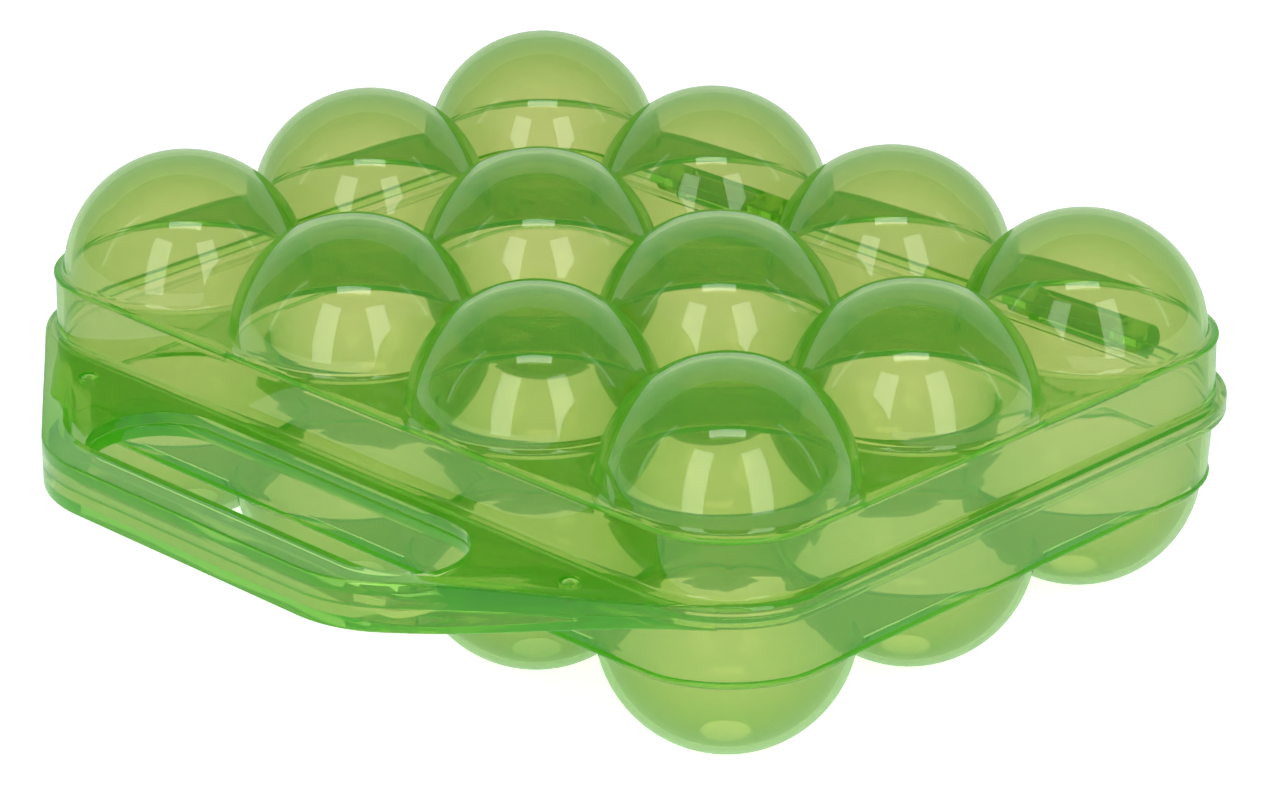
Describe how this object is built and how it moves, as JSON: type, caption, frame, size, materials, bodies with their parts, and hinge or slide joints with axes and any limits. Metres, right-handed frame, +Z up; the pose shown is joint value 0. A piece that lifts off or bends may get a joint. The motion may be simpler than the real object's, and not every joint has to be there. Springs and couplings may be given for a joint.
{
  "type": "egg storage box",
  "caption": "Hinged two-part box with rows of round cells in base and lid, and a carrying handle with a hand slot.",
  "frame": {"origin": "middle of the closed box's outline, handle and hinges included, on the plane the cups stand on", "axes": "+Z up, X along the long side, the handle points to -Y and the hinges are at +Y"},
  "size_m": [0.2044, 0.203, 0.0763],
  "materials": {
    "green_plastic": "glossy, see-through green injection-moulded plastic"
  },
  "bodies": {
    "base": {"base_tray": "green_plastic", "cup_a1": "green_plastic", "cup_a2": "green_plastic", "cup_a3": "green_plastic", "cup_a4": "green_plastic", "cup_b1": "green_plastic", "cup_b2": "green_plastic", "cup_b3": "green_plastic", "cup_b4": "green_plastic", "cup_c1": "green_plastic", "cup_c2": "green_plastic", "cup_c3": "green_plastic", "cup_c4": "green_plastic", "base_handle": "green_plastic", "base_hinge_left": "green_plastic", "base_hinge_right": "green_plastic"},
    "lid": {"lid_tray": "green_plastic", "dome_a1": "green_plastic", "dome_a2": "green_plastic", "dome_a3": "green_plastic", "dome_a4": "green_plastic", "dome_b1": "green_plastic", "dome_b2": "green_plastic", "dome_b3": "green_plastic", "dome_b4": "green_plastic", "dome_c1": "green_plastic", "dome_c2": "green_plastic", "dome_c3": "green_plastic", "dome_c4": "green_plastic", "lid_handle": "green_plastic", "lid_hinge_left": "green_plastic", "lid_hinge_right": "green_plastic"}
  },
  "joints": [
    {"name": "lid_hinge", "type": "hinge", "parent": "base", "child": "lid", "pos_m": [0, 0.0979, 0.03839], "axis": [-1, 0, 0], "range_deg": [0, 180]}
  ]
}
